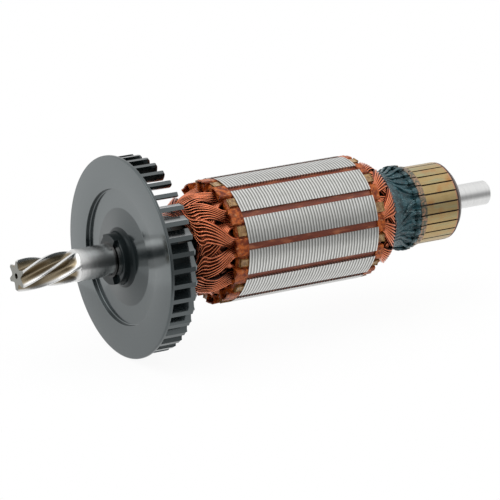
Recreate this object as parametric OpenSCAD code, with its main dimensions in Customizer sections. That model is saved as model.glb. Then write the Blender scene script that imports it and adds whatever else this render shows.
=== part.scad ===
// Armature of a power tool's universal motor: a shaft with a helical pinion, a moulded fan,
// a wound lamination stack and a commutator.
// The shaft lies along +X, from the pinion to the commutator, and the origin is on its axis
// in the middle of the drive-end bearing seat. Angles about the axis run from +Y towards +Z.

/* [Shaft] */
// Length of the drive-end bearing seat
seat_len = 10.6; // [8:0.1:14]
// Diameter of the drive-end bearing seat
seat_d = 9; // [8.6:0.1:9.6]
// Diameter of the shaft's long middle, under the fan, the core and the commutator
body_d = 10; // [9.8:0.1:10.6]
// Diameter of the commutator-end bearing journal
journal_d = 7; // [5:0.1:9]
// Length of the commutator-end bearing journal
journal_len = 14.9; // [10:0.1:20]
// Chamfer on the end of the journal
journal_chamfer = 0.5; // [0.2:0.1:1]

/* [Pinion] */
// Length of the toothed end of the shaft
pinion_len = 17.8; // [14:0.1:24]
// Number of helical teeth
pinion_teeth = 6; // [5:1:8]
// Outside diameter over the teeth
pinion_d = 8.8; // [8:0.1:8.9]
// Diameter at the roots of the flutes
pinion_root_d = 4.8; // [4.2:0.1:6]
// Length in which a tooth makes one full turn
pinion_lead = 60; // [40:1:100]
// Length over which each flute runs out into the seat
flute_runout = 4.5; // [2:0.1:6]
// Width of the flat land along each tooth's crest
crest_land = 0.6; // [0.3:0.1:1]
// Chamfer on the teeth at the tip
tip_chamfer = 0.4; // [0.2:0.1:0.8]
// Power that sets how fully the flutes are rounded
flute_power = 2.2; // [1.8:0.1:3]
// Angle of the first tooth at the tip
pinion_clocking = 31; // [0:1:60]
// Diameter of the centre hole in the tip
centre_hole_d = 1.6; // [1:0.1:2.4]

/* [Fan] */
// Diameter of the fan's disc
fan_d = 56.4; // [52:0.1:62]
// Thickness of the disc
fan_wall = 0.9; // [0.8:0.1:1.6]
// Radius of the rounding on the disc's front edge
fan_edge = 0.6; // [0.3:0.1:0.7]
// Distance from the bearing shoulder to the disc's front face
fan_setback = 3.5; // [2.5:0.1:5]
// Diameter of the recess in the disc's front face
recess_d = 38; // [34:0.5:42]
// Depth of the recess
recess_depth = 1.3; // [0.8:0.1:2]
// Diameter at which the cone around the hub meets the recess
cone_d = 27.4; // [24:0.1:30]
// Height of the cone above the recess
cone_rise = 1; // [0.6:0.1:1.6]
// Diameter of the fan's hub
fan_hub_d = 14.1; // [13:0.1:16]
// Radius of the fillet between the hub and the cone
hub_fillet = 1.6; // [1:0.1:2]
// Length of the whole hub
fan_hub_len = 18.5; // [14:0.5:19]
// Height of the two lugs on the hub's end
lug_height = 1.1; // [0.6:0.1:1.6]
// Angle that each lug covers
lug_angle = 54; // [30:1:80]
// Angle of the middle of the first lug
lug_clocking = 91; // [0:1:180]
// Number of blades
blade_count = 40; // [24:1:44]
// Diameter over the blades
blade_d = 54.8; // [50:0.1:56]
// Length of the blades behind the disc
blade_len = 7.7; // [5:0.1:9]
// Thickness of a blade
blade_wall = 1.2; // [1:0.1:1.6]
// Radius of the curve of a blade
blade_curve = 14; // [11:0.5:20]
// Angle at which a blade leans back at its outer edge
blade_lean = 20; // [5:1:25]
// Angle by which it bends further towards its inner edge
blade_sweep = 20; // [10:1:25]
// Angle at which a blade's rear edge rises towards the hub
blade_rake = 20; // [5:1:25]
// Chamfer on the outer corner of a blade
blade_chamfer = 0.5; // [0.2:0.1:1]
// Angle of the first blade
blade_clocking = 3.1; // [0:0.1:9]

/* [Core] */
// Diameter of the lamination stack
core_d = 35; // [33:0.1:38]
// Length of the lamination stack
core_len = 42.2; // [30:0.1:60]
// Distance from the bearing shoulder to the stack
core_setback = 34.5; // [33:0.1:40]
// Number of slots
slot_count = 12; // [10:2:12]
// Width of the body of a tooth
tooth_w = 3.1; // [2.8:0.1:3.6]
// Width of a slot's mouth
mouth_w = 1.9; // [1.6:0.1:2.4]
// Depth of the straight mouth between the tooth tips
mouth_depth = 0.7; // [0.5:0.1:1]
// Radius of the slots' bottoms
slot_bottom_r = 9.4; // [9:0.1:10]
// Radial height of the slope between a slot's wall and its wedge
slot_shoulder = 0.6; // [0.4:0.1:0.8]
// Angle of the first slot
slot_clocking = 21.4; // [0:0.1:30]

/* [Insulation] */
// Wall of the sleeve between the shaft and the stack
sleeve_wall = 1.3; // [1:0.1:1.6]
// Thickness of a slot liner
liner_wall = 0.3; // [0.2:0.05:0.4]
// Length of the liners' cuffs at the drive end
drive_cuff_len = 3.8; // [3.4:0.1:5]
// Length of the liners' cuffs at the commutator end
lead_cuff_len = 2.4; // [2.2:0.1:4]
// Distance that the cuffs stay inside the stack's outside radius
cuff_drop = 0.15; // [0.05:0.05:0.4]
// Chamfer on the outer corners of a cuff
cuff_chamfer = 1; // [0.6:0.1:1.2]
// Thickness of the drive-end insulator
drive_insulator_t = 3; // [2:0.1:3.2]
// Thickness of the commutator-end insulator
lead_insulator_t = 2; // [1.5:0.1:2.1]
// Width of the insulators' teeth
insulator_tooth_w = 2; // [1.6:0.1:2.2]
// Thickness of a slot wedge
wedge_t = 0.6; // [0.4:0.05:0.8]

/* [Winding] */
// Axial thickness of one layer of end turns
turn_t = 1.3; // [1:0.05:1.4]
// Radial height of the end turns where they pass the shaft
turn_h = 2.5; // [2:0.1:2.6]
// Share of a slot's depth that its lower coil side takes
split_share = 0.45; // [0.4:0.01:0.5]
// Angle over which a coil's end turns spread as they leave a slot
leg_angle = 26; // [16:1:28]
// Distance that the winding stays inside the core's radius where it leaves the cuffs
overhang_drop = 1.1; // [0.8:0.1:1.6]
// Distance that the winding's outside falls from there to its far ends
dome_fall = 3.5; // [2.5:0.1:3.6]
// Power of the drive-end dome's curve
drive_dome_power = 1.3; // [1:0.1:3]
// Power of the commutator-end dome's curve
lead_dome_power = 2.6; // [1:0.1:3]
// Distance that a coil side stays inside the dome
side_drop = 0.3; // [0.1:0.1:0.5]

/* [Commutator] */
// Number of bars for each slot
bars_per_slot = 2; // [1:1:2]
// Diameter of the brush track
track_d = 22.4; // [20:0.1:24]
// Length of the brush track
track_len = 10.8; // [8:0.1:14]
// Width of the slot between two bars
bar_gap = 0.35; // [0.25:0.05:0.5]
// Radial height of a bar
bar_h = 3.6; // [3:0.1:4]
// Depth by which the moulding is undercut between the bars
undercut = 0.6; // [0.3:0.1:1]
// Length of the risers between the track and the hooks
riser_len = 1.9; // [1.4:0.1:2.4]
// Height of the risers above the track
riser_rise = 0.35; // [0.2:0.05:0.6]
// Length of the hooks that hold the wires
hook_len = 2.2; // [1.8:0.1:2.6]
// Height of the hooks above the track
hook_rise = 1; // [0.6:0.1:1.4]
// Width of a hook
hook_w = 1.7; // [1.4:0.1:2]
// Distance between the winding and the hooks, bridged by the leads
lead_span = 6.3; // [5:0.1:8]
// Length of the moulding's end ring
end_ring_len = 2.1; // [1.6:0.1:3]
// Chamfer of the end ring
end_ring_chamfer = 1.5; // [1:0.1:1.8]
// Distance that the end ring stays below the track
end_ring_drop = 0.1; // [0.05:0.05:0.3]

/* [Leads] */
// Radius of the bound leads at their neck
neck_r = 10.9; // [10.4:0.1:11.4]
// Position of the neck between the winding and the hooks
neck_share = 0.5; // [0.4:0.05:0.6]
// Length of the flare from the neck to the hooks' height
flare_len = 1.9; // [1.4:0.1:2.4]
// Diameter of the groove between two leads
lead_groove_d = 0.9; // [0.6:0.1:1.2]
// Distance that the leads stay inside the winding's far end
lead_drop = 0.6; // [0.3:0.1:1]

/* [Hidden] */
$fn = 96;
eps = 0.01;
layers = slot_count / 2;
coil_span = slot_count / 2 - 1;
bar_count = slot_count * bars_per_slot;
slot_pitch = 360 / slot_count;
bar_pitch = 360 / bar_count;

// Stations along the shaft
seat_start = -seat_len / 2;
shoulder = seat_len / 2;
pinion_tip = seat_start - pinion_len;
fan_face = shoulder + fan_setback;
recess_floor = fan_face + recess_depth;
fan_hub_end = shoulder + fan_hub_len;
core_start = shoulder + core_setback;
core_end = core_start + core_len;
drive_turns = core_start - drive_cuff_len;
lead_turns = core_end + lead_cuff_len;
winding_start = drive_turns - layers * turn_t;
winding_end = lead_turns + layers * turn_t;
hook_start = winding_end + lead_span;
riser_start = hook_start + hook_len;
track_start = riser_start + riser_len;
track_end = track_start + track_len;
ring_end = track_end + end_ring_len;
shaft_end = ring_end + journal_len;

// Radii
core_r = core_d / 2;
body_r = body_d / 2;
sleeve_r = body_r + sleeve_wall;
track_r = track_d / 2;
bar_bottom_r = track_r - bar_h;
riser_r = track_r + riser_rise;
hook_r = track_r + hook_rise;
hook_bottom_r = track_r - undercut;
end_ring_r = track_r - end_ring_drop;
turn_outer_r = sleeve_r + turn_h;
cuff_r = core_r - cuff_drop;
wedge_seat_r = core_r - mouth_depth - wedge_t;
coil_split_r = slot_bottom_r + split_share * (wedge_seat_r - slot_bottom_r);
overhang_r = core_r - overhang_drop;
overhang_end_r = overhang_r - dome_fall;

function two_digits(n) = str(n < 10 ? "0" : "", n);
function numbered(name, count) = [for (i = [1 : count]) str(name, two_digits(i))];

// Turns a shape drawn around Z into one around the shaft: Z becomes X, and X becomes Y.
module on_shaft(x = 0) { translate([x, 0, 0]) rotate([90, 0, 90]) children(); }

module tube(outer_r, inner_r, from, to) {
    translate([0, 0, from]) linear_extrude(to - from) difference() {
        circle(outer_r);
        circle(inner_r);
    }
}

module prism(from, to) { translate([0, 0, from]) linear_extrude(to - from) children(); }

// The sector of a ring between two angles less than 180 degrees apart
module sector(inner_r, outer_r, from, to) {
    reach = 2 * outer_r;
    intersection() {
        difference() {
            circle(outer_r, $fn = 180);
            circle(inner_r, $fn = 180);
        }
        polygon(concat([[0, 0]], [for (j = [0 : 3])
            let (a = from + (to - from) * j / 3) [reach * cos(a), reach * sin(a)]]));
    }
}

// ---- Shaft and pinion ----

flute_half_angle = 180 / pinion_teeth - crest_land / pinion_d * 180 / PI;
function flute_share(x) = x < seat_start - flute_runout ? 1
    : max(0, 1 - pow((x - seat_start + flute_runout) / flute_runout, 2));
function from_flute(a) = abs(a - 360 / pinion_teeth * round(a * pinion_teeth / 360));
function flute_depth(a) = (pinion_d - pinion_root_d) / 2
    * max(0, 1 - pow(from_flute(a) / flute_half_angle, flute_power));
function tooth_turn(x) = pinion_clocking + 180 / pinion_teeth - 360 * (x - pinion_tip) / pinion_lead;
function pinion_r(x, a) = min(pinion_d / 2 - tip_chamfer + x - pinion_tip,
    pinion_d / 2 - flute_share(x) * flute_depth(a - tooth_turn(x)));

module pinion() {
    around = 10 * pinion_teeth;
    straight = ceil((pinion_len - flute_runout) / 0.9);
    curved = 7;
    xs = concat(
        [for (i = [0 : straight - 1])
            pinion_tip + (pinion_len - flute_runout) * i / straight],
        [for (i = [0 : curved]) seat_start - flute_runout * (1 - i / curved)],
        [seat_start + eps]);
    rings = len(xs);
    points = [for (x = xs) for (j = [0 : around - 1])
        let (a = 360 * j / around + tooth_turn(x), r = pinion_r(x, a)) [r * cos(a), r * sin(a), x]];
    sides = [for (i = [0 : rings - 2]) for (j = [0 : around - 1])
        let (k = (j + 1) % around)
        [i * around + j, (i + 1) * around + j, (i + 1) * around + k, i * around + k]];
    start_cap = [for (j = [0 : around - 1]) j];
    end_cap = [for (j = [around - 1 : -1 : 0]) (rings - 1) * around + j];
    polyhedron(points, concat(sides, [start_cap, end_cap]));
}

module shaft() {
    color("lightsteelblue") on_shaft() difference() {
        union() {
            pinion();
            translate([0, 0, seat_start]) cylinder(d = seat_d, h = seat_len);
            translate([0, 0, shoulder]) cylinder(r = body_r, h = ring_end - shoulder);
            translate([0, 0, ring_end]) cylinder(d = journal_d, h = journal_len - journal_chamfer);
            translate([0, 0, shaft_end - journal_chamfer])
                cylinder(d1 = journal_d, d2 = journal_d - 2 * journal_chamfer, h = journal_chamfer);
        }
        translate([0, 0, pinion_tip - eps]) cylinder(d = centre_hole_d, h = 2 * centre_hole_d);
    }
}

module shaft_sleeve() {
    color("wheat") on_shaft() tube(sleeve_r, body_r, fan_hub_end, hook_start);
}

// ---- Fan ----

module fan_body_profile() {
    hub_r = fan_hub_d / 2;
    rim_r = fan_d / 2;
    cone_top = recess_floor - cone_rise;
    difference() {
        union() {
            polygon([
                [body_r, shoulder], [hub_r, shoulder],
                [hub_r, cone_top - hub_fillet], [hub_r + hub_fillet, cone_top],
                [cone_d / 2, recess_floor], [recess_d / 2, recess_floor],
                [recess_d / 2, fan_face], [rim_r - fan_edge, fan_face],
                [rim_r - fan_edge, fan_face + fan_edge], [rim_r, fan_face + fan_edge],
                [rim_r, fan_face + fan_wall], [recess_d / 2 + fan_wall, fan_face + fan_wall],
                [recess_d / 2 + fan_wall, recess_floor + fan_wall],
                [hub_r, recess_floor + fan_wall], [hub_r, fan_hub_end], [body_r, fan_hub_end]]);
            translate([rim_r - fan_edge, fan_face + fan_edge]) circle(fan_edge, $fn = 48);
        }
        translate([hub_r + hub_fillet, cone_top - hub_fillet]) circle(hub_fillet, $fn = 48);
    }
}

// One curved blade at angle 0, longer than the fan's radius
module blade_section() {
    reach = 2 * blade_curve;
    bend = blade_lean + blade_sweep;
    translate([blade_d / 2 + blade_curve * sin(blade_lean), -blade_curve * cos(blade_lean)]) intersection() {
        difference() {
            circle(blade_curve + blade_wall / 2);
            circle(blade_curve - blade_wall / 2);
        }
        polygon([[0, 0], [blade_wall, reach], [-reach * sin(bend), reach * cos(bend)]]);
    }
}

module blade_envelope_profile() {
    root = fan_face + fan_wall / 2;
    end = fan_face + fan_wall + blade_len;
    inner_r = recess_d / 2 + fan_wall / 2;
    rise = (blade_d / 2 - blade_chamfer - inner_r) * tan(blade_rake);
    polygon([
        [inner_r, root], [blade_d / 2, root], [blade_d / 2, end - blade_chamfer],
        [blade_d / 2 - blade_chamfer, end], [inner_r, end + rise]]);
}

// The space between the hub's two lugs, on one side
module lug_notch() {
    gap_angle = 180 - lug_angle;
    reach = fan_hub_d;
    translate([0, 0, shoulder - 1]) linear_extrude(lug_height + 1) polygon([
        [0, 0], [reach * cos(gap_angle / 2), -reach * sin(gap_angle / 2)],
        [2 * reach, 0], [reach * cos(gap_angle / 2), reach * sin(gap_angle / 2)]]);
}

module cooling_fan() {
    color("dimgray") on_shaft() difference() {
        union() {
            rotate_extrude() fan_body_profile();
            intersection() {
                rotate_extrude() blade_envelope_profile();
                prism(fan_face, fan_hub_end)
                    for (i = [0 : blade_count - 1])
                        rotate(blade_clocking + i * 360 / blade_count) blade_section();
            }
        }
        for (side = [90, 270]) rotate(lug_clocking + side) lug_notch();
    }
}

// ---- Lamination stack and insulation ----

// Half width of a slot at radius r, with each wall moved in by inset; the teeth are parallel-sided.
function slot_half_w(r, inset) = r * tan(slot_pitch / 2)
    - (tooth_w / 2 + inset) / cos(slot_pitch / 2);

// Outline of a slot around +X, from its bottom to radius top_r
module slot_section(inset = 0, top_r = wedge_seat_r) {
    bottom = slot_bottom_r + inset;
    shoulder_r = wedge_seat_r - slot_shoulder;
    top = min(top_r, shoulder_r);
    wide = slot_half_w(shoulder_r, inset);
    low = slot_half_w(bottom, inset);
    narrow = top_r - shoulder_r;
    polygon(concat(
        [[bottom, -low], [top, -slot_half_w(top, inset)]],
        narrow > 0 ? [[top_r, narrow - wide], [top_r, wide - narrow]] : [],
        [[top, slot_half_w(top, inset)], [bottom, low]]));
}

// The seat under the tooth tips that the wedge slides into
module wedge_section() {
    half = slot_half_w(wedge_seat_r - slot_shoulder, 0) - slot_shoulder;
    polygon([[wedge_seat_r, -half], [core_r - mouth_depth, -half + wedge_t],
        [core_r - mouth_depth, half - wedge_t], [wedge_seat_r, half]]);
}

module at_slot(i) { rotate(slot_clocking + i * slot_pitch) children(); }

module lamination_stack() {
    color("silver") on_shaft() prism(core_start, core_end) difference() {
        circle(core_r, $fn = 180);
        circle(sleeve_r);
        for (i = [0 : slot_count - 1]) at_slot(i) {
            slot_section();
            wedge_section();
            translate([core_r - mouth_depth - eps, -mouth_w / 2]) square([2 * mouth_depth, mouth_w]);
        }
    }
}

// A ring with one tooth on each tooth of the stack, clear of the liners' cuffs
module end_insulator(from, to) {
    color("burlywood") on_shaft() prism(from, to) difference() {
        union() {
            circle(slot_bottom_r - liner_wall);
            for (i = [0 : slot_count - 1]) at_slot(i + 0.5)
                translate([sleeve_r, -insulator_tooth_w / 2])
                    square([cuff_r - sleeve_r, insulator_tooth_w]);
        }
        circle(sleeve_r);
    }
}

module drive_end_insulator() { end_insulator(core_start - drive_insulator_t, core_start); }
module commutator_end_insulator() { end_insulator(core_end, core_end + lead_insulator_t); }

// Closed cuff around a slot's coil sides, outside the stack
module cuff_section() {
    low = slot_half_w(slot_bottom_r, 0);
    high = slot_half_w(wedge_seat_r, 0);
    difference() {
        polygon([[slot_bottom_r, -low], [cuff_r - cuff_chamfer, -high], [cuff_r, cuff_chamfer - high],
            [cuff_r, high - cuff_chamfer], [cuff_r - cuff_chamfer, high], [slot_bottom_r, low]]);
        slot_section(liner_wall, wedge_seat_r);
    }
}

module slot_liners() {
    color("peru") on_shaft() for (i = [0 : slot_count - 1]) at_slot(i) {
        prism(core_start, core_end) difference() {
            slot_section();
            slot_section(liner_wall, wedge_seat_r + eps);
        }
        prism(drive_turns, core_start) cuff_section();
        prism(core_end, lead_turns) cuff_section();
    }
}

module slot_wedge(i) {
    color("sienna") on_shaft() prism(core_start, core_end) at_slot(i) wedge_section();
}

// ---- Winding ----

// Coils are laid two at a time, one on each side of the shaft, so coil i lies in layer i mod 6.
function layer_of(i) = i % layers;
// A coil side is the lower one in its slot if it was laid first.
function start_is_lower(i) = layer_of(i) < layers - 1;
function end_is_lower(i) = layer_of(i) == 0;

// Outside radius of the winding in layer k, which steps down along the dome
function dome_r(k, power) = overhang_r
    - (overhang_r - overhang_end_r) * pow((k + 0.5) / layers, power);

// The half of a slot's section that one coil side fills
module side_section(lower) {
    intersection() {
        slot_section(liner_wall, wedge_seat_r);
        if (lower) square([2 * coil_split_r, core_d], center = true);
        else translate([coil_split_r, -core_r]) square([core_r, core_d]);
    }
}

// The space outside the slope that an upper coil side follows beyond its cuff, from z towards end
module above_slope(z, end) {
    start_r = wedge_seat_r + side_drop;
    end_r = overhang_end_r - 2 * side_drop;
    rotate([90, 0, 0]) linear_extrude(core_d, center = true)
        polygon([[start_r, z], [end_r, end], [core_d, end], [core_d, z]]);
}

// The part of a coil in slot i, which ends inside its turns
module coil_side(i, layer, lower) {
    reach = (layer + 0.5) * turn_t;
    inside = 1;
    at_slot(i) difference() {
        prism(drive_turns - reach, lead_turns + reach) side_section(lower);
        if (!lower) {
            above_slope(drive_turns + inside, winding_start - inside);
            above_slope(lead_turns - inside, winding_end + inside);
        }
    }
}

// One end turn: the bend round the shaft and a leg that spreads from each coil side in to it
module end_turn(i, power, from) {
    outer_r = dome_r(layer_of(i), power);
    leg_inner_r = turn_outer_r - turn_h / 2;
    span = coil_span * slot_pitch;
    half = leg_angle / 2;
    prism(from, from + turn_t) at_slot(i) {
        sector(sleeve_r, turn_outer_r, 0, span);
        sector(leg_inner_r, start_is_lower(i) ? coil_split_r : outer_r, -half, half);
        sector(leg_inner_r, end_is_lower(i) ? coil_split_r : outer_r, span - half, span + half);
    }
}

module coil(i) {
    layer = layer_of(i);
    color("chocolate") on_shaft() union() {
        coil_side(i, layer, start_is_lower(i));
        coil_side(i + coil_span, layer, end_is_lower(i));
        end_turn(i, drive_dome_power, drive_turns - (layer + 1) * turn_t);
        end_turn(i, lead_dome_power, lead_turns + layer * turn_t);
    }
}

// ---- Commutator and leads ----

module at_bar(i) { rotate(slot_clocking + i * bar_pitch) children(); }

// The sector of a ring that one bar covers, with half a gap left free on each side
module bar_sector(inner_r, outer_r) {
    half_angle = bar_pitch / 2 - asin(bar_gap / track_d);
    sector(inner_r, outer_r, -half_angle, half_angle);
}

// The part of a bar that is anchored in the moulding
module bar_body() { prism(riser_start, track_end) bar_sector(bar_bottom_r, track_r); }

module hook() {
    prism(hook_start, riser_start) intersection() {
        bar_sector(hook_bottom_r, hook_r);
        translate([0, -hook_w / 2]) square([hook_r, hook_w]);
    }
}

module commutator_bar(i) {
    color("darkgoldenrod") on_shaft() at_bar(i) {
        bar_body();
        prism(riser_start, track_start) bar_sector(bar_bottom_r, riser_r);
        hook();
    }
}

module commutator_moulding() {
    color("saddlebrown") on_shaft() difference() {
        rotate_extrude() polygon([
            [body_r, hook_start], [hook_bottom_r, hook_start], [hook_bottom_r, track_end],
            [end_ring_r, track_end], [end_ring_r, ring_end - end_ring_chamfer],
            [end_ring_r - end_ring_chamfer, ring_end], [body_r, ring_end]]);
        for (i = [0 : bar_count - 1]) at_bar(i) bar_body();
    }
}

module bound_leads() {
    neck = winding_end + lead_span * neck_share;
    color("darkslategray") on_shaft() difference() {
        rotate_extrude() polygon([
            [sleeve_r, winding_end], [overhang_end_r - lead_drop, winding_end], [neck_r, neck],
            [hook_r, neck + flare_len], [hook_r, hook_start], [sleeve_r, hook_start]]);
        for (i = [0 : bar_count - 1]) at_bar(i + 0.5)
            translate([hook_r, 0, neck]) cylinder(d = lead_groove_d, h = lead_span, $fn = 24);
    }
}

shaft();
shaft_sleeve();
cooling_fan();
lamination_stack();
drive_end_insulator();
commutator_end_insulator();
slot_liners();
commutator_moulding();
bound_leads();
for (i = [1 : slot_count]) {
    slot_wedge(i - 1);
    coil(i - 1);
}
for (i = [1 : bar_count])
    commutator_bar(i - 1);
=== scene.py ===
"""A wound motor armature: helical pinion shaft, moulded fan, slotted core with copper coils,
resin-dipped leads and a commutator. Lengths are in millimetres until they reach Blender."""

import math

import bmesh
import bpy
import numpy as np
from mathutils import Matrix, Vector


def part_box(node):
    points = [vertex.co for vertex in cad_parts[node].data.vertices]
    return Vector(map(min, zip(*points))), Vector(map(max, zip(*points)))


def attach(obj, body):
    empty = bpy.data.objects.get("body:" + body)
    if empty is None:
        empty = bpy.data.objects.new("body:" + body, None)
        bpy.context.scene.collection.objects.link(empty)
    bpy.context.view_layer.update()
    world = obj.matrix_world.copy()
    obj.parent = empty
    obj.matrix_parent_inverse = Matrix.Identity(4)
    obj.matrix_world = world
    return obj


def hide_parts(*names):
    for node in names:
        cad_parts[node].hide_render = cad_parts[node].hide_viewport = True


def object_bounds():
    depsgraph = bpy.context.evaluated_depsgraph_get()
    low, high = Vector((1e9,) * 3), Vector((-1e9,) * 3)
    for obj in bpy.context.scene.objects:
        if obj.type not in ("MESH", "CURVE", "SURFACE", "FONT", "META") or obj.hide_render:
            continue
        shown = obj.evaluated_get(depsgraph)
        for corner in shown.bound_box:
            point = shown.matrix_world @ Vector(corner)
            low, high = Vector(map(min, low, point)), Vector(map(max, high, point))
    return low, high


MM = 0.001
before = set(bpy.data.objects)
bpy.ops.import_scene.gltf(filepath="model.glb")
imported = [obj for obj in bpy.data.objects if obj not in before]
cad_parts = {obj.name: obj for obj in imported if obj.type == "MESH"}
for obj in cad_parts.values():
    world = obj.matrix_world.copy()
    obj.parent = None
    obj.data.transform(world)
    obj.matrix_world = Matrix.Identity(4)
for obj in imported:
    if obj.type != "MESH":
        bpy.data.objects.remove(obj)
cad_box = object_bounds()
rng = np.random.default_rng(7)


def reach(node):
    """The stretch of the shaft's axis that a CAD node takes, in mm."""
    low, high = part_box(node)
    return low[0] / MM, high[0] / MM


def outer_radius(node):
    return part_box(node)[1][2] / MM


def numbered(name, count):
    return [f"{name}_{i:02d}" for i in range(1, count + 1)]


# ---- Counts, sizes read from the frame, and sizes that the frame doesn't give ----
SLOTS, BARS, BLADES, PINION_TEETH = 12, 24, 40, 6

TIP, SHAFT_END = reach("shaft")
FAN_FRONT, FAN_BACK = reach("cooling_fan")
CORE_START, CORE_END = reach("lamination_stack")
CUFF_START, CUFF_END = reach("slot_liners")
WINDING_END = max(reach(coil)[1] for coil in numbered("coil", SLOTS))
HOOK_START, TRACK_END = reach("commutator_bar_01")
RING_END = reach("commutator_moulding")[1]
FAN_R = outer_radius("cooling_fan")

SEAT_R, BODY_R, JOURNAL_R = 4.5, 5.0, 3.5
SEAT_START, SEAT_END = -5.3, 5.3
JOURNAL_CHAMFER = 0.5

PINION_R, PINION_ROOT_R, PINION_LEAD, PINION_CLOCKING = 4.4, 2.4, 60.0, 31.0
FLUTE_RUNOUT, FLUTE_POWER, CREST_LAND, TIP_CHAMFER = 4.5, 2.2, 0.6, 0.4
CENTRE_HOLE_R, CENTRE_HOLE_DEPTH = 0.8, 3.2

SLOT_CLOCKING, SLEEVE_R = 21.4, 6.3
SLOT_PITCH = 360 / SLOTS
COIL_SPAN = SLOTS // 2 - 1
SHEET_PITCH = 0.93
BAR_PITCH, BAR_GAP_ANGLE, TRACK_START = 360 / BARS, 14.1, 102.6

FAN_FACE, FAN_WALL, FAN_EDGE = 8.8, 0.9, 0.6
RECESS_R, RECESS_FLOOR, CONE_R, CONE_TOP = 19.0, 10.1, 13.7, 9.1
HUB_R, HUB_FILLET, LUG_HEIGHT, LUG_ANGLE, LUG_CLOCKING = 7.05, 1.6, 1.1, 54, 91
BLADE_R, BLADE_CURVE, BLADE_LEAN, BLADE_SWEEP = 27.4, 14, 20, 20
BLADE_WALL, BLADE_END, BLADE_RAKE, BLADE_CHAMFER, BLADE_CLOCKING = 1.2, 17.4, 20, 0.5, 3.1


# ---- Camera ----
def make_camera():
    data = bpy.data.cameras.new("view")
    data.lens, data.sensor_width = 262.8, 36
    data.clip_start, data.clip_end = 0.05, 20
    camera = bpy.data.objects.new("view", data)
    camera.location = (-0.45805, -0.82973, 0.29766)
    heading = Vector((0.4991, 0.8142, -0.2966))
    camera.rotation_euler = heading.to_track_quat("-Z", "Y").to_euler()
    bpy.context.scene.collection.objects.link(camera)
    bpy.context.scene.camera = camera


make_camera()


# ---- Shaders written as expressions ----
class Value:
    """A node's output that Python's operators turn in to Math nodes."""

    def __init__(self, shader, link):
        self.shader, self.link = shader, link

    def math(self, operation, *others):
        inputs = dict(enumerate((self, *others)))
        return self.shader.node("ShaderNodeMath", {"operation": operation}, inputs)

    def __add__(self, other):
        return self.math("ADD", other)

    __radd__ = __add__

    def __mul__(self, other):
        return self.math("MULTIPLY", other)

    __rmul__ = __mul__

    def __sub__(self, other):
        return self.math("SUBTRACT", other)

    def __rsub__(self, other):
        return self.shader.node("ShaderNodeMath", {"operation": "SUBTRACT"}, {0: other, 1: self})

    def __truediv__(self, other):
        return self.math("DIVIDE", other)

    def above(self, low, high):
        """0 below low, 1 above high, smooth between."""
        return self.shader.node(
            "ShaderNodeMapRange", {"interpolation_type": "SMOOTHSTEP"},
            {"Value": self, "From Min": low, "From Max": high})


class Shader:
    """One material, with positions in mm along and around the shaft."""

    def __init__(self, name, world=False):
        self.data = bpy.data.worlds.new(name) if world else bpy.data.materials.new(name)
        self.data.use_nodes = True
        self.tree = self.data.node_tree
        self.tree.nodes.clear()
        if not world:
            self.place()

    def node(self, kind, settings=None, inputs=None, output=0):
        node = self.tree.nodes.new(kind)
        for key, value in (settings or {}).items():
            setattr(node, key, value)
        for key, value in (inputs or {}).items():
            if isinstance(value, Value):
                self.tree.links.new(value.link, node.inputs[key])
            else:
                node.inputs[key].default_value = value
        return Value(self, node.outputs[output]) if node.outputs else None

    def place(self):
        """Where a point lies: x along the shaft, y, z, radius, and angle about it in degrees."""
        spot = self.node("ShaderNodeTexCoord", output=3)
        self.spot = self.node(
            "ShaderNodeVectorMath", {"operation": "SCALE"}, {0: spot, "Scale": 1 / MM})
        self.x, self.y, self.z = self.parts(self.spot)
        self.radius = (self.y * self.y + self.z * self.z).math("SQRT")
        self.angle = self.z.math("ARCTAN2", self.y) * (180 / math.pi)

    def parts(self, vector):
        return [self.node("ShaderNodeSeparateXYZ", inputs={0: vector}, output=i) for i in range(3)]

    def vector(self, x, y, z):
        return self.node("ShaderNodeCombineXYZ", inputs={0: x, 1: y, 2: z})

    def noise(self, vector, scale, detail=3.0):
        return self.node("ShaderNodeTexNoise", inputs={
            "Vector": vector, "Scale": scale, "Detail": detail, "Roughness": 0.55})

    def mix(self, share, a, b):
        """Mixes two colours, each given as a node's output or as red, green and blue."""
        a, b = (c if isinstance(c, Value) else (*c, 1) for c in (a, b))
        return self.node("ShaderNodeMix", {"data_type": "RGBA"}, {0: share, 6: a, 7: b}, output=2)

    def bump(self, height, strength, distance):
        return self.node("ShaderNodeBump", inputs={
            "Strength": strength, "Distance": distance * MM, "Height": height})

    def surface(self, **inputs):
        sockets = {key.replace("_", " "): value for key, value in inputs.items()}
        body = self.node("ShaderNodeBsdfPrincipled", inputs=sockets)
        self.node("ShaderNodeOutputMaterial", inputs={"Surface": body})
        return self.data


# ---- Materials ----
def ground_steel():
    s = Shader("ground steel")
    x, radius, angle = s.x, s.radius, s.angle
    helix = angle + x * (360 / PINION_LEAD)
    film = 1 - radius.above(3.4, 4.25)
    film = film * (1 - x.above(SEAT_START - 1.0, SEAT_START - 0.2)) * x.above(TIP, TIP + 0.15)
    tip = 1 - x.above(TIP, TIP + 0.3)
    # shoulder paints shade: a near-black ring on the shaft where the shadow falls in the gap
    # between the fan hub's bore and the shaft.
    shoulder = x.above(SEAT_END - 0.1, SEAT_END) * (1 - x.above(SEAT_END + 0.5, SEAT_END + 0.6))
    streak = s.noise(s.vector(helix * 0.08, x * 0.03, radius * 0.5), 3.0)
    oil = s.mix(streak, (0.14, 0.11, 0.07), (0.34, 0.28, 0.19))
    rings = s.noise(s.vector(x * 6, angle * 0.004, radius), 1.0, 2.0)
    steel = s.mix(rings, (0.60, 0.60, 0.60), (0.80, 0.80, 0.79))
    colour = s.mix(tip, s.mix(film, steel, oil), (0.24, 0.24, 0.22))
    return s.surface(
        Base_Color=s.mix(shoulder, colour, (0.02, 0.02, 0.02)), Metallic=1.0,
        Roughness=film * 0.08 + rings * 0.14 + tip * 0.3 + 0.14,
        Normal=s.bump(rings, 0.12, 0.02))


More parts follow.
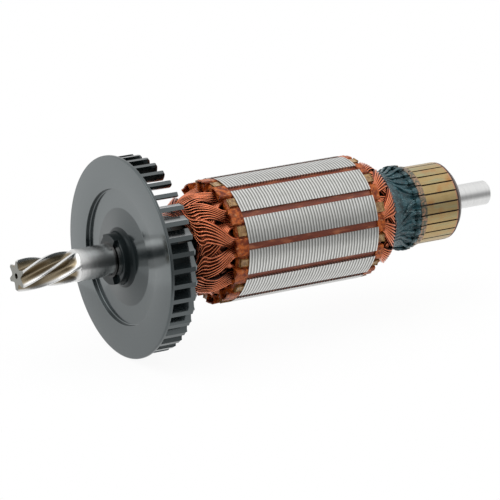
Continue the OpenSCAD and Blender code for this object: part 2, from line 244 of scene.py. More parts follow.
def fan_nylon(name, ior):
    """Near-black nylon, whose look is its reflections: ior sets how strong they are."""
    s = Shader(name)
    spot = s.spot
    grain = s.noise(spot, 2.2, 4.0)
    cloud = s.noise(spot, 0.12, 2.0)
    return s.surface(
        Base_Color=s.mix(cloud, (0.007, 0.010, 0.011), (0.012, 0.016, 0.017)),
        Roughness=grain * 0.06 + cloud * 0.04 + 0.09, IOR=ior, Specular_Tint=(0.88, 0.98, 1.0, 1),
        Normal=s.bump(grain, 0.06, 0.03))


def sheet_steel():
    s = Shader("sheet steel")
    spot, x, y, z = s.spot, s.x, s.y, s.z
    wobble = s.noise(spot, 0.35, 2.0) * 0.35
    sheet = ((x + wobble) * (2 * math.pi / SHEET_PITCH)).math("SINE") * 0.5 + 0.5
    fine = ((x + wobble) * (4 * math.pi / SHEET_PITCH)).math("SINE") * 0.5 + 0.5
    groove = sheet * 0.75 + fine * 0.25
    patch = s.noise(s.vector(x * 0.25, y, z), 0.5, 3.0)
    bright = s.mix(patch, (0.66, 0.66, 0.63), (0.94, 0.94, 0.92))
    colour = s.mix(groove, (0.12, 0.122, 0.113), bright)
    return s.surface(
        Base_Color=colour, Metallic=0.95, Roughness=patch * 0.12 + 0.24,
        Normal=s.bump(groove, 0.28, 0.06))


def fibre_board():
    s = Shader("fibre board")
    spot = s.spot
    blot = s.noise(spot, 0.9, 4.0)
    fleck = s.noise(spot, 5.0, 3.0)
    base = s.mix(blot.above(0.35, 0.7), (0.20, 0.085, 0.018), (0.46, 0.28, 0.10))
    return s.surface(
        Base_Color=s.mix(fleck.above(0.55, 0.75), base, (0.56, 0.40, 0.20)),
        Roughness=fleck * 0.3 + 0.25, Coat_Weight=0.4,
        Normal=s.bump(fleck + blot, 0.4, 0.15))


def varnished_paper():
    s = Shader("varnished paper")
    spot, x, y, z = s.spot, s.x, s.y, s.z
    blot = s.noise(spot, 0.8, 3.0)
    fibre = s.noise(s.vector(x * 0.4, y, z), 5.0, 3.0)
    base = s.mix(blot.above(0.35, 0.65), (0.15, 0.020, 0.003), (0.50, 0.115, 0.018))
    base = s.mix(s.noise(spot, 1.3, 2.0).above(0.56, 0.76), base, (0.56, 0.23, 0.09))
    return s.surface(
        Base_Color=base, Roughness=fibre * 0.25 + 0.3, IOR=1.35,
        Normal=s.bump(fibre, 0.4, 0.12))


def wedge_strip():
    s = Shader("wedge strip")
    x, y, z = s.x, s.y, s.z
    fibre = s.noise(s.vector(x * 0.12, y * 1.4, z * 1.4), 2.4, 4.0)
    worn = s.noise(s.vector(x * 0.3, y, z), 0.6, 3.0)
    base = s.mix(fibre, (0.050, 0.008, 0.003), (0.34, 0.060, 0.016))
    return s.surface(
        Base_Color=s.mix(worn.above(0.5, 0.8), base, (0.48, 0.15, 0.06)),
        Roughness=fibre * 0.25 + 0.35, Coat_Weight=0.15,
        Normal=s.bump(fibre, 0.5, 0.08))


def enamelled_copper(name, shaded, lit):
    """Wire whose colour paints light on faces that point out from the shaft and paints shade on its
    flanks.
    """
    s = Shader(name)
    spot, y, z, radius = s.spot, s.y, s.z, s.radius
    tone = s.noise(spot, 0.55, 3.0)
    normal = s.node("ShaderNodeNewGeometry", output=1)
    nx, ny, nz = s.parts(normal)
    outwards = (ny * y + nz * z) / radius + nx.math("ABSOLUTE") * 0.5
    # Painted light and shade: faces turned out from the shaft get the lit colour, the flanks get
    # the shaded colour.
    colour = s.mix(outwards.above(0.6, 1.02) * (tone * 0.7 + 0.65), shaded, lit)
    return s.surface(
        Base_Color=colour, Metallic=0.75, Roughness=tone * 0.10 + 0.20,
        Coat_Weight=0.35)


def dipping_resin():
    s = Shader("dipping resin")
    spot, x, radius, angle = s.spot, s.x, s.radius, s.angle
    tone = s.noise(spot, 0.6, 3.0)
    fine = s.noise(s.vector(x, angle * 0.6, radius), 1.2, 3.0)
    base = s.mix(tone.above(0.3, 0.7), (0.005, 0.022, 0.028), (0.026, 0.092, 0.112))
    # The pale streaks mixed in here are painted highlights.
    base = s.mix(fine.above(0.56, 0.74), base, (0.20, 0.33, 0.34))
    return s.surface(
        Base_Color=base, Roughness=fine * 0.2 + 0.30, Coat_Weight=0.1,
        Normal=s.bump(fine, 0.3, 0.1))


def bar_copper():
    s = Shader("bar copper")
    spot, x, y, z, angle = s.spot, s.x, s.y, s.z, s.angle
    brushed = s.noise(s.vector(x * 0.15, y * 2.2, z * 2.2), 1.6, 4.0)
    cloud = s.noise(spot, 0.22, 2.0)
    bar = s.noise(s.vector(angle * 0.06, x * 0.05, 0.0), 2.0, 2.0)
    track = s.mix(brushed * 0.5 + cloud * 0.5, (0.30, 0.19, 0.065), (0.58, 0.45, 0.23))
    track = s.mix(bar.above(0.45, 0.75) * 0.8, track, (0.34, 0.35, 0.21))
    track = s.mix(cloud.above(0.50, 0.85), track, (0.42, 0.20, 0.07))
    gap = 1 - (angle - BAR_GAP_ANGLE).math("PINGPONG", 7.5).above(0.9, 1.4)
    track = s.mix(gap, track, (0.05, 0.025, 0.015))
    mottle = s.noise(spot, 1.5, 3.0)
    riser = s.mix(mottle.above(0.40, 0.70), (0.12, 0.13, 0.10), (0.46, 0.27, 0.18))
    riser = s.mix(x.above(HOOK_START + 1.4, HOOK_START + 2.2), (0.020, 0.050, 0.052), riser)
    rim = s.mix(x.above(TRACK_END - 0.5, TRACK_END - 0.2), track, (0.50, 0.26, 0.15))
    return s.surface(
        Base_Color=s.mix(x.above(TRACK_START - 0.15, TRACK_START + 0.1), riser, rim),
        Metallic=0.85, Roughness=brushed * 0.15 + 0.26,
        Normal=s.bump(brushed, 0.15, 0.03))


def dark_moulding():
    s = Shader("dark moulding")
    spot = s.spot
    tone = s.noise(spot, 0.8, 3.0)
    return s.surface(
        Base_Color=s.mix(tone, (0.030, 0.015, 0.011), (0.070, 0.040, 0.030)),
        Roughness=tone * 0.2 + 0.3, Normal=s.bump(tone, 0.2, 0.05))


def plain_resin():
    s = Shader("sleeve resin")
    spot = s.spot
    tone = s.noise(spot, 0.7, 3.0)
    return s.surface(
        Base_Color=s.mix(tone, (0.012, 0.010, 0.008), (0.025, 0.020, 0.016)),
        Roughness=tone * 0.2 + 0.3)


STEEL = ground_steel()
NYLON = fan_nylon("fan nylon", 1.9)
# The cone and hub copies reflect less, which paints shade: the hub's own darkness and the dark
# hub's reflection in the cone.
CONE = fan_nylon("fan cone", 1.6)
HUB = fan_nylon("fan hub", 1.22)
SHEETS = sheet_steel()
FIBRE = fibre_board()
PAPER = varnished_paper()
STRIP = wedge_strip()
WIRE = enamelled_copper("enamelled wire", (0.030, 0.006, 0.003), (0.74, 0.205, 0.085))
# A darker copy of the wire finish, which paints the shade on the strands that lie below the top
# ones.
SHADED_WIRE = enamelled_copper("shaded wire", (0.010, 0.003, 0.002), (0.36, 0.055, 0.010))
# A still darker copy of the wire finish for the body under the strands, which paints the shade
# inside the winding.
HEART = enamelled_copper("shaded winding", (0.03, 0.008, 0.004), (0.16, 0.035, 0.012))
RESIN = dipping_resin()
BAR = bar_copper()
MOULDING = dark_moulding()
SLEEVE = plain_resin()


# ---- Mesh helpers ----
def around(x, radius, angle):
    """A point at angle degrees about the shaft, in metres."""
    a = np.radians(angle)
    return np.stack(np.broadcast_arrays(x, radius * np.cos(a), radius * np.sin(a)), -1) * MM


def show_piece(mesh, shape, material, replaces=(), crease=35):
    """Fills the mesh from a bmesh and shows it as a piece on the part's only body."""
    bmesh.ops.recalc_face_normals(shape, faces=shape.faces)
    shape.to_mesh(mesh)
    shape.free()
    mesh.materials.append(material)
    mesh.shade_smooth()
    mesh.set_sharp_from_angle(angle=math.radians(crease))
    piece = bpy.data.objects.new(mesh.name, mesh)
    bpy.context.scene.collection.objects.link(piece)
    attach(piece, "root")
    if replaces:
        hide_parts(*replaces)
    return piece


def make_piece(name, points, faces, material, replaces=(), crease=35):
    mesh = bpy.data.meshes.new(name)
    mesh.from_pydata([tuple(p) for p in points], [], faces)
    mesh.validate()
    shape = bmesh.new()
    shape.from_mesh(mesh)
    return show_piece(mesh, shape, material, replaces, crease)


def grid_faces(rows, columns, first=0, closed=True):
    """Quads of a grid of rows by columns, closed round its columns."""
    last = columns if closed else columns - 1
    return [(first + i * columns + j, first + (i + 1) * columns + j,
             first + (i + 1) * columns + (j + 1) % columns, first + i * columns + (j + 1) % columns)
            for i in range(rows - 1) for j in range(last)]


def rounded(corners, steps=5):
    """A closed outline from (x, radius, fillet) corners, each rounded by its fillet."""
    line = []
    for i, (x, r, fillet) in enumerate(corners):
        here = np.array([x, r], float)
        before = np.array(corners[i - 1][:2], float) - here
        after = np.array(corners[(i + 1) % len(corners)][:2], float) - here
        if not fillet:
            line.append(here)
            continue
        a, b = before / np.linalg.norm(before), after / np.linalg.norm(after)
        half = math.acos(max(-1, min(1, float(a @ b)))) / 2
        room = 0.49 * min(np.linalg.norm(before), np.linalg.norm(after))
        back = min(fillet / math.tan(half), room)
        p, q = here + a * back, here + b * back
        for k in range(steps + 1):
            t = k / steps
            line.append((1 - t) ** 2 * p + 2 * t * (1 - t) * here + t * t * q)
    return line


def lathe(outline, columns):
    """Points and faces of a closed outline turned round the shaft."""
    angles = np.linspace(0, 360, columns, endpoint=False)
    points = np.concatenate([around(x, r, angles) for x, r in outline])
    count = len(outline)
    faces = [(i * columns + j, ((i + 1) % count) * columns + j,
              ((i + 1) % count) * columns + (j + 1) % columns, i * columns + (j + 1) % columns)
             for i in range(count) for j in range(columns)]
    return list(points), faces


# ---- Shaft ----
def pinion_radius(x, angle):
    pitch = 360 / PINION_TEETH
    half = pitch / 2 - math.degrees(CREST_LAND / (2 * PINION_R))
    runout = np.clip((x - SEAT_START + FLUTE_RUNOUT) / FLUTE_RUNOUT, 0, 1)
    turned = angle - (PINION_CLOCKING + pitch / 2 - 360 * (x - TIP) / PINION_LEAD)
    off = np.abs(turned - pitch * np.round(turned / pitch))
    depth = (PINION_R - PINION_ROOT_R) * np.clip(1 - (off / half) ** FLUTE_POWER, 0, 1)
    return np.minimum(PINION_R - TIP_CHAMFER + x - TIP, PINION_R - (1 - runout ** 2) * depth)


def build_shaft():
    columns = 288
    angles = np.linspace(0, 360, columns, endpoint=False)
    rings = [around(TIP + CENTRE_HOLE_DEPTH, 0.02, angles),
             around(TIP + CENTRE_HOLE_DEPTH - 0.4, CENTRE_HOLE_R, angles),
             around(TIP, CENTRE_HOLE_R, angles)]
    for x in np.concatenate([[TIP, TIP + 0.2], np.linspace(TIP + 0.4, SEAT_START, 110)]):
        rings.append(around(x, pinion_radius(x, angles), angles))
    for x, r in ((SEAT_START, SEAT_R), (SEAT_END, SEAT_R), (SEAT_END, BODY_R), (RING_END, BODY_R),
                 (RING_END, JOURNAL_R), (SHAFT_END - JOURNAL_CHAMFER, JOURNAL_R),
                 (SHAFT_END, JOURNAL_R - JOURNAL_CHAMFER), (SHAFT_END, 0.02)):
        rings.append(around(x, r, angles))
    points = np.concatenate(rings)
    faces = grid_faces(len(rings), columns)
    faces.append(tuple(range(columns)))
    faces.append(tuple(range(len(points) - columns, len(points)))[::-1])
    make_piece("turned_shaft", points, faces, STEEL, ["shaft"], crease=28)


# ---- Fan ----
def build_fan():
    hub_front = FAN_FRONT + LUG_HEIGHT
    outline = rounded([
        (hub_front, BODY_R, 0), (hub_front, HUB_R, 0.2), (CONE_TOP, HUB_R, HUB_FILLET),
        (RECESS_FLOOR, CONE_R, 1.2), (RECESS_FLOOR, RECESS_R, 0.35), (FAN_FACE, RECESS_R, 0.15),
        (FAN_FACE, FAN_R, FAN_EDGE), (FAN_FACE + FAN_WALL, FAN_R, 0.1),
        (FAN_FACE + FAN_WALL, RECESS_R + FAN_WALL, 0.3),
        (RECESS_FLOOR + FAN_WALL, RECESS_R + FAN_WALL, 0.3),
        (RECESS_FLOOR + FAN_WALL, HUB_R, 0.6), (FAN_BACK, HUB_R, 0.2), (FAN_BACK, BODY_R, 0)])
    points, faces = lathe(outline, 240)
    for side in (0, 180):
        first = len(points)
        spread = np.linspace(-LUG_ANGLE / 2, LUG_ANGLE / 2, 15) + LUG_CLOCKING + side
        edge = 0.12
        section = [(hub_front + 0.1, BODY_R), (FAN_FRONT, BODY_R), (FAN_FRONT, HUB_R - edge),
                   (FAN_FRONT + edge, HUB_R), (hub_front + 0.3, HUB_R)]
        for x, r in section:
            points.extend(around(x, r, spread))
        faces += grid_faces(len(section), len(spread), first, closed=False)
        for end in (0, len(spread) - 1):
            faces.append(tuple(first + k * len(spread) + end for k in range(len(section))))
    piece = make_piece("fan_disc", points, faces, NYLON, ["cooling_fan"], crease=30)
    piece.data.materials.append(CONE)
    piece.data.materials.append(HUB)
    # Faces near the hub take the copies that reflect less, painting the shade there.
    radii = np.array([math.hypot(p.center.y, p.center.z) for p in piece.data.polygons]) / MM
    inwards = (radii < CONE_R - 1).astype(np.int32) + (radii < HUB_R + 3)
    piece.data.polygons.foreach_set("material_index", inwards.astype(np.int32))


def build_blades():
    """Blades that lean back as they run inwards, with rear edges that rise towards the hub."""
    root = FAN_FACE + FAN_WALL / 2
    lean = math.radians(BLADE_LEAN)
    centre_u, centre_v = BLADE_R + BLADE_CURVE * math.sin(lean), -BLADE_CURVE * math.cos(lean)
    mesh = bmesh.new()
    for i in range(BLADES):
        turn = BLADE_CLOCKING + i * 360 / BLADES
        columns = []
        for bend in (0, 1.5, 5, 9, 13, 17, BLADE_SWEEP):
            for side in (-1, 1):
                curve, at = BLADE_CURVE + side * BLADE_WALL / 2, lean + math.radians(bend)
                if bend == 0:
                    at = math.asin((centre_u - BLADE_R) / curve)
                u, v = centre_u - curve * math.sin(at), centre_v + curve * math.cos(at)
                r, angle = math.hypot(u, v), turn + math.degrees(math.atan2(v, u))
                r = BLADE_R if bend == 0 else r
                rise = max(0, BLADE_R - BLADE_CHAMFER - r) * math.tan(math.radians(BLADE_RAKE))
                top = BLADE_END + rise - (BLADE_CHAMFER if bend == 0 else 0)
                columns.append([mesh.verts.new(around(x, r, angle)) for x in (root, top)])
        faces = []
        for k in range(len(columns) // 2 - 1):
            a, b, c, d = columns[2 * k:2 * k + 4]
            faces += [(a[0], a[1], c[1], c[0]), (b[0], d[0], d[1], b[1]), (a[1], b[1], d[1], c[1])]
        a, b, c, d = columns[0], columns[1], columns[-2], columns[-1]
        faces += [(a[0], b[0], b[1], a[1]), (c[0], c[1], d[1], d[0])]
        for face in faces:
            mesh.faces.new(face)
    sharp = [e for e in mesh.edges if e.is_manifold and e.calc_face_angle(0) > math.radians(40)]
    bmesh.ops.bevel(mesh, geom=sharp, offset=0.1 * MM, segments=2, profile=0.5, affect="EDGES")
    show_piece(bpy.data.meshes.new("fan_blades"), mesh, NYLON)


# ---- Wires ----
def spline(knots, count):
    """Points along smooth curves through knots, for an array of (strand, knot, coordinate)."""
    before, after = 2 * knots[:, :1] - knots[:, 1:2], 2 * knots[:, -1:] - knots[:, -2:-1]
    knots = np.concatenate([before, knots, after], 1)
    spans = knots.shape[1] - 3
    s = np.linspace(0, spans - 1e-6, count)
    k, t = s.astype(int), (s % 1)[None, :, None]
    a, b, c, d = (knots[:, k + j] for j in range(4))
    return 0.5 * (2 * b + (c - a) * t + (2 * a - 5 * b + 4 * c - d) * t ** 2
                  + (3 * b - a - 3 * c + d) * t ** 3)


def tubes(paths, radius, sides=6):
    """Points and faces of round wires along paths, an array of (strand, point, 3) in mm."""
    strands, count, _ = paths.shape
    tangent = np.gradient(paths, axis=1)
    tangent /= np.linalg.norm(tangent, axis=2, keepdims=True)
    out = paths * np.array([0.02, 1, 1])
    side = np.cross(tangent, out)
    side /= np.linalg.norm(side, axis=2, keepdims=True) + 1e-9
    up = np.cross(side, tangent)
    turn = np.linspace(0, 2 * np.pi, sides, endpoint=False)
    ring = (side[:, :, None] * np.cos(turn)[:, None] + up[:, :, None] * np.sin(turn)[:, None])
    points = (paths[:, :, None] + ring * radius).reshape(-1, 3) * MM
    faces = []
    for s in range(strands):
        first = s * count * sides
        faces += grid_faces(count, sides, first)
        faces.append(tuple(range(first, first + sides)))
        faces.append(tuple(range(first + (count - 1) * sides, first + count * sides))[::-1])
    return points, faces


def curl(knots):
    """Knots given as x, radius and angle, turned in to x, y and z."""
    a = np.radians(knots[..., 2])
    return np.stack([knots[..., 0], knots[..., 1] * np.cos(a), knots[..., 1] * np.sin(a)], -1)


WIRE_R, STRANDS, POINTS_A_WIRE = 0.27, 28, 50
# How far each coil, and each wire within its coil, lies below the outermost.
LAYER_STEP = 0.45
SINK = np.array([0.0, 0.55, 1.0, 0.55])
# Depth from the slot's mouth and radius of the outermost wires, at each end of the core.
DRIVE_DOME = [(-3, 16.2), (0, 16.0), (2.4, 15.3), (4.4, 14.5), (5.8, 13.5), (7.4, 12.4),
              (8.5, 11.2)]
LEAD_DOME = [(-3, 16.3), (0, 16.5), (2.6, 16.0), (4.6, 15.5), (5.4, 14.6), (6.6, 12.8), (7.4, 11.2)]
HEART_SUNK = 3.1


def dome_radius(dome, depth):
    return np.interp(depth, [d for d, r in dome], [r for d, r in dome])


def end_turn_knots(i, drive):
    """One coil's wires over one end of the core. The wires wound last lie on top and slant
    over the dome; the first ones run straight out and turn close to the shaft."""
    dome = DRIVE_DOME if drive else LEAD_DOME
    inset = LAYER_STEP * (5 - (i - 1) % 6)
    mouth, way = (CUFF_START, -1) if drive else (CUFF_END, 1)
    deepest = dome[-1][0] - inset
    n = STRANDS
    order = np.arange(n)
    sink = SINK[order % len(SINK)]
    lane = (order + 0.5) / n
    fan = np.clip(lane + rng.uniform(-0.012, 0.012, n), 0, 1)
    shoulder = 12 + 42 * fan if drive else 10 + 38 * fan
    sunk_out = inset + sink + rng.uniform(-0.03, 0.03, n)
    sunk_mouth = 0.6 * inset + 2.4 * (1 - lane) ** 1.3 + 0.7 * sink
    start = SLOT_CLOCKING + i * SLOT_PITCH
    span = COIL_SPAN * SLOT_PITCH
    ends = []
    for _ in range(2):
        edge = 0.6 + 10.0 * lane + rng.uniform(-0.15, 0.15, n)
        sway = rng.uniform(-1, 1, n)
        knots = []
        for share in (-0.3, 0.0, 0.25, 0.5, 0.75, 1.0):
            depth = share * deepest
            along = max(share, 0)
            slant = edge + (shoulder - edge) * along ** 1.1 + 0.4 * sway * along * (1 - 0.5 * along)
            sunk = sunk_mouth + (sunk_out - sunk_mouth) * min(1, 2.2 * along)
            r = dome_radius(dome, depth) - sunk
            knots.append(np.stack([np.full(n, mouth + way * depth), r, slant], -1))
        ends.append(knots)
    middle_r = np.maximum(7.6, 12.0 * np.cos(np.radians(span / 2 - shoulder)) - 0.5 * inset)
    front = mouth + way * (deepest - 0.55 * (order % 3) * (1 - fan))
    middle = np.stack([front, middle_r, np.full(n, span / 2)], -1)
    near = [k + np.array([0, 0, start]) for k in ends[0]]
    far = [k * np.array([1, 1, -1]) + np.array([0, 0, start + span]) for k in ends[1]]
    return np.stack(near + [middle + np.array([0, 0, start])] + far[::-1], 1)


def build_coils():
    names = zip(numbered("coil_wires", SLOTS), numbered("coil", SLOTS))
    for i, (name, coil) in enumerate(names):
        paths = np.concatenate([
            curl(spline(end_turn_knots(i, drive), POINTS_A_WIRE)) for drive in (True, False)])
        points, faces = tubes(paths, WIRE_R)
        piece = make_piece(name, points, faces, WIRE, [coil], crease=80)
        piece.data.materials.append(SHADED_WIRE)
        # The strands below the top ones take the darker copy, painting the shade between the top
        # strands.
        a_wire = len(faces) // (2 * STRANDS)
        shaded = np.arange(len(faces)) // a_wire % STRANDS % len(SINK) != 0
        piece.data.polygons.foreach_set("material_index", shaded.astype(np.int32))


def build_winding_hearts():
    """The wires below the ones that are modelled one by one, in a darker copy of the wire finish
    that paints the shade inside the winding.
    """
    for name, dome, mouth, way in (("drive_winding_heart", DRIVE_DOME, CUFF_START, -1),
                                   ("lead_winding_heart", LEAD_DOME, CUFF_END, 1)):
        line = [(mouth + way * max(-2.4, d - 0.35 * HEART_SUNK), r - HEART_SUNK) for d, r in dome]
        line += [(mouth + way * (dome[-1][0] - 1.8), SLEEVE_R), (line[0][0], SLEEVE_R)]
        points, faces = lathe(line, 96)
        make_piece(name, points, faces, HEART)


# ---- Cuffs and insulators ----
CUFF_WALL = 0.35


def build_cuffs():
    """The slot liners' folded ends, each a little ragged and leaning its own way."""
    points, faces = [], []
    for i in range(SLOTS):
        centre = SLOT_CLOCKING + i * SLOT_PITCH
        for base, free in ((CORE_START, CUFF_START), (CORE_END, CUFF_END)):
            stations = np.linspace(0, 1, 6)
            lean = rng.uniform(-0.25, 0.25, 3)
            first = len(points)
            half_line = [(-1.0, 12.0), (-1.35, 13.5), (-1.9, 15.4), (-2.45, 16.8), (-2.2, 17.15),
                         (-1.1, 17.25), (0, 17.3)]
            line = half_line + [(-u, v) for u, v in half_line[-2::-1]]
            for t in stations:
                x = base + (free - base) * t
                ragged = (free - base) * 0.06 * t ** 3
                for layer in (0, CUFF_WALL):
                    for k, (u, v) in enumerate(line):
                        swell = 0.12 * math.sin(3 * k + 7 * i) * t
                        uu = u * (1 - layer / 2.6) + lean[0] * t
                        vv = v - layer + lean[1] * t * 0.6 + swell
                        xx = x + ragged * math.sin(2.3 * k + 5 * i + lean[2] * 9)
                        turn = centre + math.degrees(math.atan2(uu, vv))
                        points.append(around(xx, math.hypot(uu, vv), turn))
            m = len(line)
            for s in range(len(stations) - 1):
                a, b = first + s * 2 * m, first + (s + 1) * 2 * m
                for k in range(m - 1):
                    faces += [(a + k, b + k, b + k + 1, a + k + 1),
                              (a + m + k, a + m + k + 1, b + m + k + 1, b + m + k)]
                faces += [(a, a + m, b + m, b),
                          (a + m - 1, b + m - 1, b + 2 * m - 1, a + 2 * m - 1)]
            for a in (first, first + (len(stations) - 1) * 2 * m):
                faces += [(a + k, a + k + 1, a + m + k + 1, a + m + k) for k in range(m - 1)]
    make_piece("varnished_cuffs", points, faces, PAPER, ["slot_liners"],
               crease=50)


def rounded_block(mesh, xs, us, vs, centre, offset):
    """A block with rounded edges, at a radius of vs and us to the side of centre's angle."""
    made = bmesh.ops.create_cube(mesh, size=1)["verts"]
    for v in made:
        x, u, r = (low + (high - low) * (c + 0.5) for (low, high), c in zip((xs, us, vs), v.co))
        turn = centre + math.degrees(math.atan2(u, r))
        v.co = Vector(around(x, math.hypot(u, r), turn))
    edges = list({e for v in made for e in v.link_edges})
    bmesh.ops.bevel(mesh, geom=edges, offset=offset * MM, segments=3, profile=0.6, affect="EDGES")


COLLAR_R, COLLAR_LENGTH = 9.1, 3


def build_insulators():
    """Rounded blocks on the core's teeth, and the collar that they belong to on the sleeve."""
    for name, base, way, node in (("drive_insulator", CORE_START, -1, "drive_end_insulator"),
                                  ("lead_insulator", CORE_END, 1, "commutator_end_insulator")):
        mesh = bmesh.new()
        for i in range(SLOTS):
            centre = SLOT_CLOCKING + (i + 0.5) * SLOT_PITCH + rng.uniform(-0.6, 0.6)
            half = 1.0 + rng.uniform(-0.08, 0.1)
            tip = base + way * (2.35 + rng.uniform(-0.2, 0.25))
            xs = (tip, base) if way < 0 else (base, tip)
            top = 17.15 + rng.uniform(-0.25, 0.1)
            rounded_block(mesh, xs, (-half, half), (15.4, top), centre, 0.3)
        mesh.verts.index_update()
        points = [v.co.copy() for v in mesh.verts]
        faces = [tuple(v.index for v in face.verts) for face in mesh.faces]
        mesh.free()
        far = base + way * COLLAR_LENGTH
        disc, disc_faces = lathe([(base, SLEEVE_R), (base, COLLAR_R), (far, COLLAR_R),
                                  (far, SLEEVE_R)], 96)
        first = len(points)
        points += [Vector(p) for p in disc]
        faces += [tuple(first + k for k in face) for face in disc_faces]
        make_piece(name, points, faces, FIBRE, [node], crease=60)


def build_varnish():
    """Varnish that has run between the cuffs and the petals and set there."""
    angles = np.linspace(0, 360, 360, endpoint=False)
    waves = [(n, rng.uniform(0, 360), rng.uniform(0.3, 1) / n ** 0.5) for n in range(7, 60, 4)]
    ripple = sum(a * np.sin(np.radians(n * angles + phase)) for n, phase, a in waves)
    for base, way in ((CORE_START, -1), (CORE_END, 1)):
        length = 2.9 if way < 0 else 2.2
        rings = [around(base, 14.0, angles), around(base, 16.55 + 0.10 * ripple, angles)]
        for share, r in ((0.4, 16.5), (0.75, 16.3), (0.93, 16.0), (1.0, 15.6)):
            rings.append(around(base + way * (length * share + 0.12 * ripple * share),
                                r + 0.12 * np.roll(ripple, 40 * int(5 * share)), angles))
        rings.append(around(base + way * length * 0.9, 14.0, angles))
        faces = grid_faces(len(rings), len(angles))
        name = "drive_varnish" if way < 0 else "lead_varnish"
        make_piece(name, np.concatenate(rings), faces, PAPER, crease=70)


# ---- Leads ----
LEADS_START, NECK, NECK_R = WINDING_END - 1.5, 95.3, 10.8
# The wires fan out from a few places round the neck, this many degrees apart.
LEAD_GROUP, LEAD_GROUP_ANGLE = 90, 197


def build_leads():
    """A pleated sleeve of resin from the winding to the hooks, with wires lying on it."""
    columns = BARS * 12
    angles = np.linspace(0, 360, columns, endpoint=False)
    bar = (angles - SLOT_CLOCKING) / BAR_PITCH
    ridge = np.abs(np.cos(np.pi * bar))
    rings = [around(LEADS_START, 7.0, angles)]
    for x in np.linspace(LEADS_START, HOOK_START + 2.0, 40):
        if x < NECK:
            r = NECK_R + 2.1 * (1 - ((x - LEADS_START) / (NECK - LEADS_START)) ** 0.8)
        else:
            r = NECK_R + ((x - NECK) / (HOOK_START + 1.2 - NECK)) ** 1.5
        pleat = 0.85 * np.clip((x - NECK) / 3.6, 0, 1) ** 1.2
        rings.append(around(x, r - pleat * (1 - ridge), angles))
    rings.append(around(HOOK_START + 2.1, 9.0, angles))
    points = np.concatenate(rings)
    faces = grid_faces(len(rings), columns)
    make_piece("resin_bound_leads", points, faces, RESIN, ["bound_leads"], crease=60)
    knots = []
    for k in range(BARS):
        angle = SLOT_CLOCKING + k * BAR_PITCH
        group = round((angle - LEAD_GROUP_ANGLE) / LEAD_GROUP)
        centre = LEAD_GROUP_ANGLE + LEAD_GROUP * group
        for off in (-1.2, 1.2):
            start = centre + 0.30 * (angle - centre) + off * 0.5
            wiggle = rng.uniform(-0.12, 0.12, 4)
            turn = angle - start
            knots.append([
                (LEADS_START + 0.1, 12.6, start), (93.4, 11.35 + wiggle[0], start + 0.2 * turn),
                (NECK, 10.95 + wiggle[1], start + 0.42 * turn),
                (97.0, 11.25 + wiggle[2], angle - 0.16 * turn + off * 0.6),
                (98.4, 11.75 + wiggle[3], angle + off), (99.4, 12.0, angle + off),
                (100.3, 11.6, angle + off * 1.4)])
    points, faces = tubes(curl(spline(np.array(knots), 40)), 0.34)
    make_piece("resin_coated_wires", points, faces, RESIN, crease=80)


def build_hook_beads():
    """The resin-covered wire that wraps each hook."""
    points, faces = [], []
    for k in range(BARS):
        centre = SLOT_CLOCKING + k * BAR_PITCH
        first = len(points)
        tall, wide = 0.75 + rng.uniform(-0.12, 0.12), 1.05 + rng.uniform(-0.12, 0.12)
        rows, columns = 9, 14
        middle = HOOK_START + 1.0 + rng.uniform(-0.15, 0.15)
        for i in range(rows):
            lat = math.pi * (i + 0.5) / rows
            for j in range(columns):
                lon = 2 * math.pi * j / columns
                x = middle + 1.05 * math.cos(lat)
                u = wide * math.sin(lat) * math.cos(lon)
                r = 11.65 + tall * math.sin(lat) * math.sin(lon)
                points.append(around(x, r, centre + math.degrees(u / 11.6)))
        faces += grid_faces(rows, columns, first)
        faces.append(tuple(first + j for j in range(columns)))
        faces.append(tuple(first + (rows - 1) * columns + j for j in range(columns)))
    make_piece("hook_beads", points, faces, RESIN, crease=80)


# ---- CAD nodes that keep their shape ----
def finish_cad_nodes():
    """Gives these nodes their materials and leaves their meshes alone."""
    finishes = {"shaft_sleeve": SLEEVE, "lamination_stack": SHEETS, "commutator_moulding": MOULDING}
    finishes.update(dict.fromkeys(numbered("slot_wedge", SLOTS), STRIP))
    finishes.update(dict.fromkeys(numbered("commutator_bar", BARS), BAR))
    for name, material in finishes.items():
        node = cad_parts[name]
        if node.material_slots:
            for slot in node.material_slots:
                slot.material = material
        else:
            node.data.materials.append(material)


# ---- Studio ----
SHEET_LENGTH, SHEET_WIDTH = 120, 72


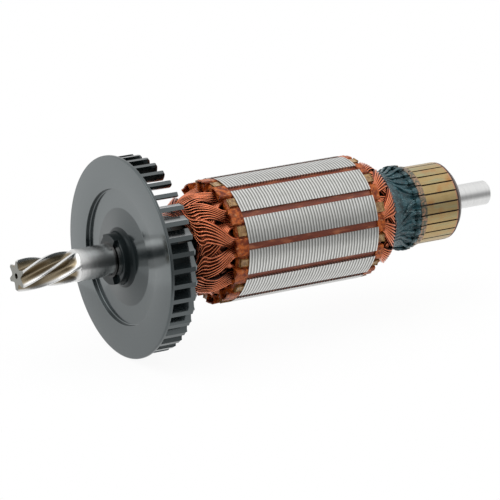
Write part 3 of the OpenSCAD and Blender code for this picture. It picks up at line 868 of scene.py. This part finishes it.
def build_world():
    """An even white studio: dimmer on the camera's side, brighter behind and to the left."""
    s = Shader("studio light", world=True)
    way = s.node("ShaderNodeTexCoord", output=0)
    x, y, z = s.parts(way)
    high = z.math("ABSOLUTE")
    left = 1 - x.above(-0.45, -0.1)
    near_side = (1 - high.above(0.08, 0.62)) * (1 - y.above(-0.85, -0.1)) * (1 - left)
    near_left = (1 - high.above(0.32, 0.75)) * (1 - y.above(-0.7, -0.45)) * left
    top_left = (x * -0.5 + y * -0.05 + z * 0.86).above(0.86, 0.97)
    light = 0.94 - near_side * 0.56 - near_left * 0.9 + left * y.above(0.2, 0.7) * 0.4
    light = light + top_left * 1.6 + z.above(0.4, 0.95) * 0.15
    seen = s.node("ShaderNodeLightPath", output=0)
    light = light * (1 - seen) + seen
    back = s.node("ShaderNodeBackground", inputs={"Color": (1, 1, 1, 1), "Strength": light})
    s.node("ShaderNodeOutputWorld", inputs={"Surface": back})
    bpy.context.scene.world = s.data


def build_floor():
    """A white sheet below the fan, which fades in to the white background at its edge."""
    s = Shader("white sheet")
    x, y = s.x, s.y
    middle = (TIP + SHAFT_END) / 2
    along, across = (x - middle) * (1 / SHEET_LENGTH), y * (1 / SHEET_WIDTH)
    edge = (along * along + across * across).above(0.35, 0.95)
    seen, mirrored = (s.node("ShaderNodeLightPath", output=i) for i in (0, 3))
    matt = s.node("ShaderNodeBsdfDiffuse", inputs={"Color": (0.9, 0.9, 0.9, 1)})
    white = s.node("ShaderNodeEmission", inputs={"Color": (1, 1, 1, 1), "Strength": 1.0})
    share = seen * (edge * 0.07 + 0.93) + mirrored * 0.9
    blend = s.node("ShaderNodeMixShader", inputs={0: share, 1: matt, 2: white})
    s.node("ShaderNodeOutputMaterial", inputs={"Surface": blend})
    low = cad_box[0][2] - 0.2 * MM
    angles = np.linspace(0, 2 * np.pi, 96, endpoint=False)
    points = [((middle + SHEET_LENGTH * math.cos(a)) * MM, SHEET_WIDTH * math.sin(a) * MM, low)
              for a in angles]
    mesh = bpy.data.meshes.new("white_sheet")
    mesh.from_pydata(points, [], [tuple(range(len(points)))])
    mesh.materials.append(s.data)
    floor = bpy.data.objects.new("white_sheet", mesh)
    bpy.context.scene.collection.objects.link(floor)


bpy.context.scene.view_settings.view_transform = "Standard"
build_world()
build_floor()
build_shaft()
build_fan()
build_blades()
build_winding_hearts()
build_coils()
build_cuffs()
build_insulators()
build_varnish()
build_leads()
build_hook_beads()
finish_cad_nodes()
